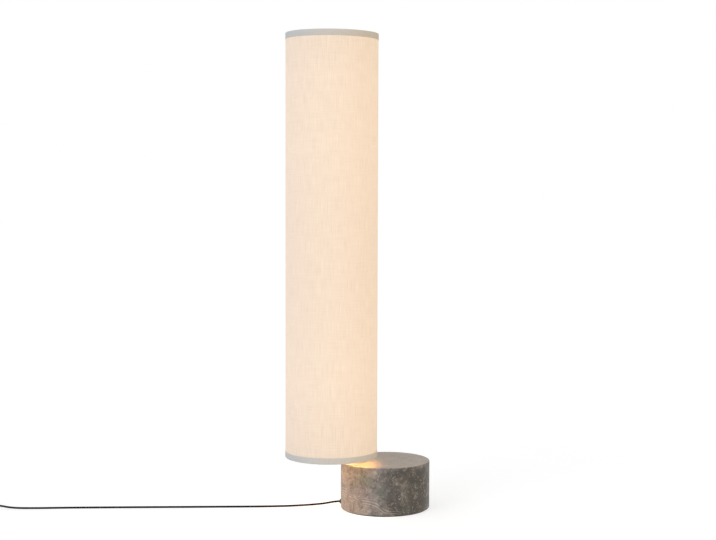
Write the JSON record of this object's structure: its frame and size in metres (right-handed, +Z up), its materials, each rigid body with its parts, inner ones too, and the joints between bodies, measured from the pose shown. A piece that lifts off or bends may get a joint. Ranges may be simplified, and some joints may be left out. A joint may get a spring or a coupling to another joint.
{
  "type": "column floor lamp",
  "caption": "Tall cylindrical fabric shade on a hidden stem, offset above a round marble base, with two bulbs, a floor cord, a foot switch and a plug.",
  "frame": {"origin": "middle of the base's underside, on the floor", "axes": "+Z up along the lamp's height; the shade's axis stands at -X of the base, the cord leaves the base towards -X and +Y"},
  "size_m": [1.2799, 0.5654, 1.2],
  "materials": {
    "felt": "pressed felt",
    "marble": "honed, mottled grey-brown marble with pale veins",
    "black_plastic": "fine satin texture",
    "black_gloss": "polished",
    "white_plastic": "matt",
    "zinc_steel": "bright zinc plate",
    "black_rubber": "matt",
    "black_metal": "satin black powder coat",
    "liner_film": "translucent white film, lit from inside",
    "linen": "natural linen weave with slubs, lit from inside",
    "white_wire": "white powder coat",
    "grey_tape": "woven edge tape",
    "brushed_brass": "brushed",
    "black_cord": "smooth round flexible cord",
    "white_lead": "smooth sleeve",
    "ceramic_insert": "unglazed",
    "brass_contacts": "bright",
    "bulb_cap_metal": "bright",
    "bulb_glass": "frosted white, lit",
    "nickel_pins": "nickel plate"
  },
  "bodies": {
    "lamp": {"base_tie_tube": "zinc_steel", "button_spring": "zinc_steel", "clamp_washer": "zinc_steel", "coil_tie": "black_cord", "cord_coil": "black_cord", "cord_grommet": "black_plastic", "cord_stop": "black_plastic", "cord_stop_screw": "zinc_steel", "cord_to_coil": "black_cord", "cord_to_plug": "black_cord", "cord_to_switch": "black_cord", "floor_pad": "felt", "hex_nuts": "zinc_steel", "holder_nipples": "zinc_steel", "inner_cord": "black_cord", "lower_bulb_cap": "bulb_cap_metal", "lower_bulb_glass": "bulb_glass", "lower_holder_arm": "black_metal", "lower_holder_cap": "black_plastic", "lower_holder_contacts": "brass_contacts", "lower_holder_insert": "ceramic_insert", "lower_holder_skirt": "black_plastic", "lower_lead": "white_lead", "lower_spreader": "black_metal", "marble_base": "marble", "plug_body": "black_plastic", "plug_pins": "nickel_pins", "set_screws": "zinc_steel", "shade_arm": "black_metal", "shade_stud": "zinc_steel", "spreader_tips": "black_rubber", "spring_washer": "zinc_steel", "stem_seat_washer": "black_rubber", "stem_tube": "black_metal", "switch_case_lower": "black_plastic", "switch_case_screws": "zinc_steel", "switch_case_upper": "black_plastic", "switch_contact_block": "white_plastic", "switch_cord_boots": "black_rubber", "switch_feet": "black_rubber", "upper_bulb_cap": "bulb_cap_metal", "upper_bulb_glass": "bulb_glass", "upper_holder_arm": "black_metal", "upper_holder_cap": "black_plastic", "upper_holder_contacts": "brass_contacts", "upper_holder_insert": "ceramic_insert", "upper_holder_skirt": "black_plastic", "upper_lead": "white_lead"},
    "shade": {"shade_liner": "liner_film", "shade_fabric": "linen", "shade_bottom_ring": "white_wire", "shade_spider": "white_wire", "shade_bottom_band": "grey_tape", "shade_top_band": "grey_tape"},
    "finial": {"finial_knob": "brushed_brass"},
    "button": {"switch_button": "black_gloss"}
  },
  "joints": [
    {"name": "shade_lift", "type": "slide", "parent": "lamp", "child": "shade", "axis": [0, 0, 1], "range_m": [0, 0.04]},
    {"name": "finial_turn", "type": "hinge", "parent": "shade", "child": "finial", "pos_m": [-0.147, 0, 1.174], "axis": [0, 0, 1], "continuous": true},
    {"name": "foot_button", "type": "slide", "parent": "lamp", "child": "button", "axis": [0, 0, -1], "range_m": [0, 0.003], "stiffness_N_per_m": 600, "springref_m": -0.002, "deforming": ["button_spring"]}
  ]
}
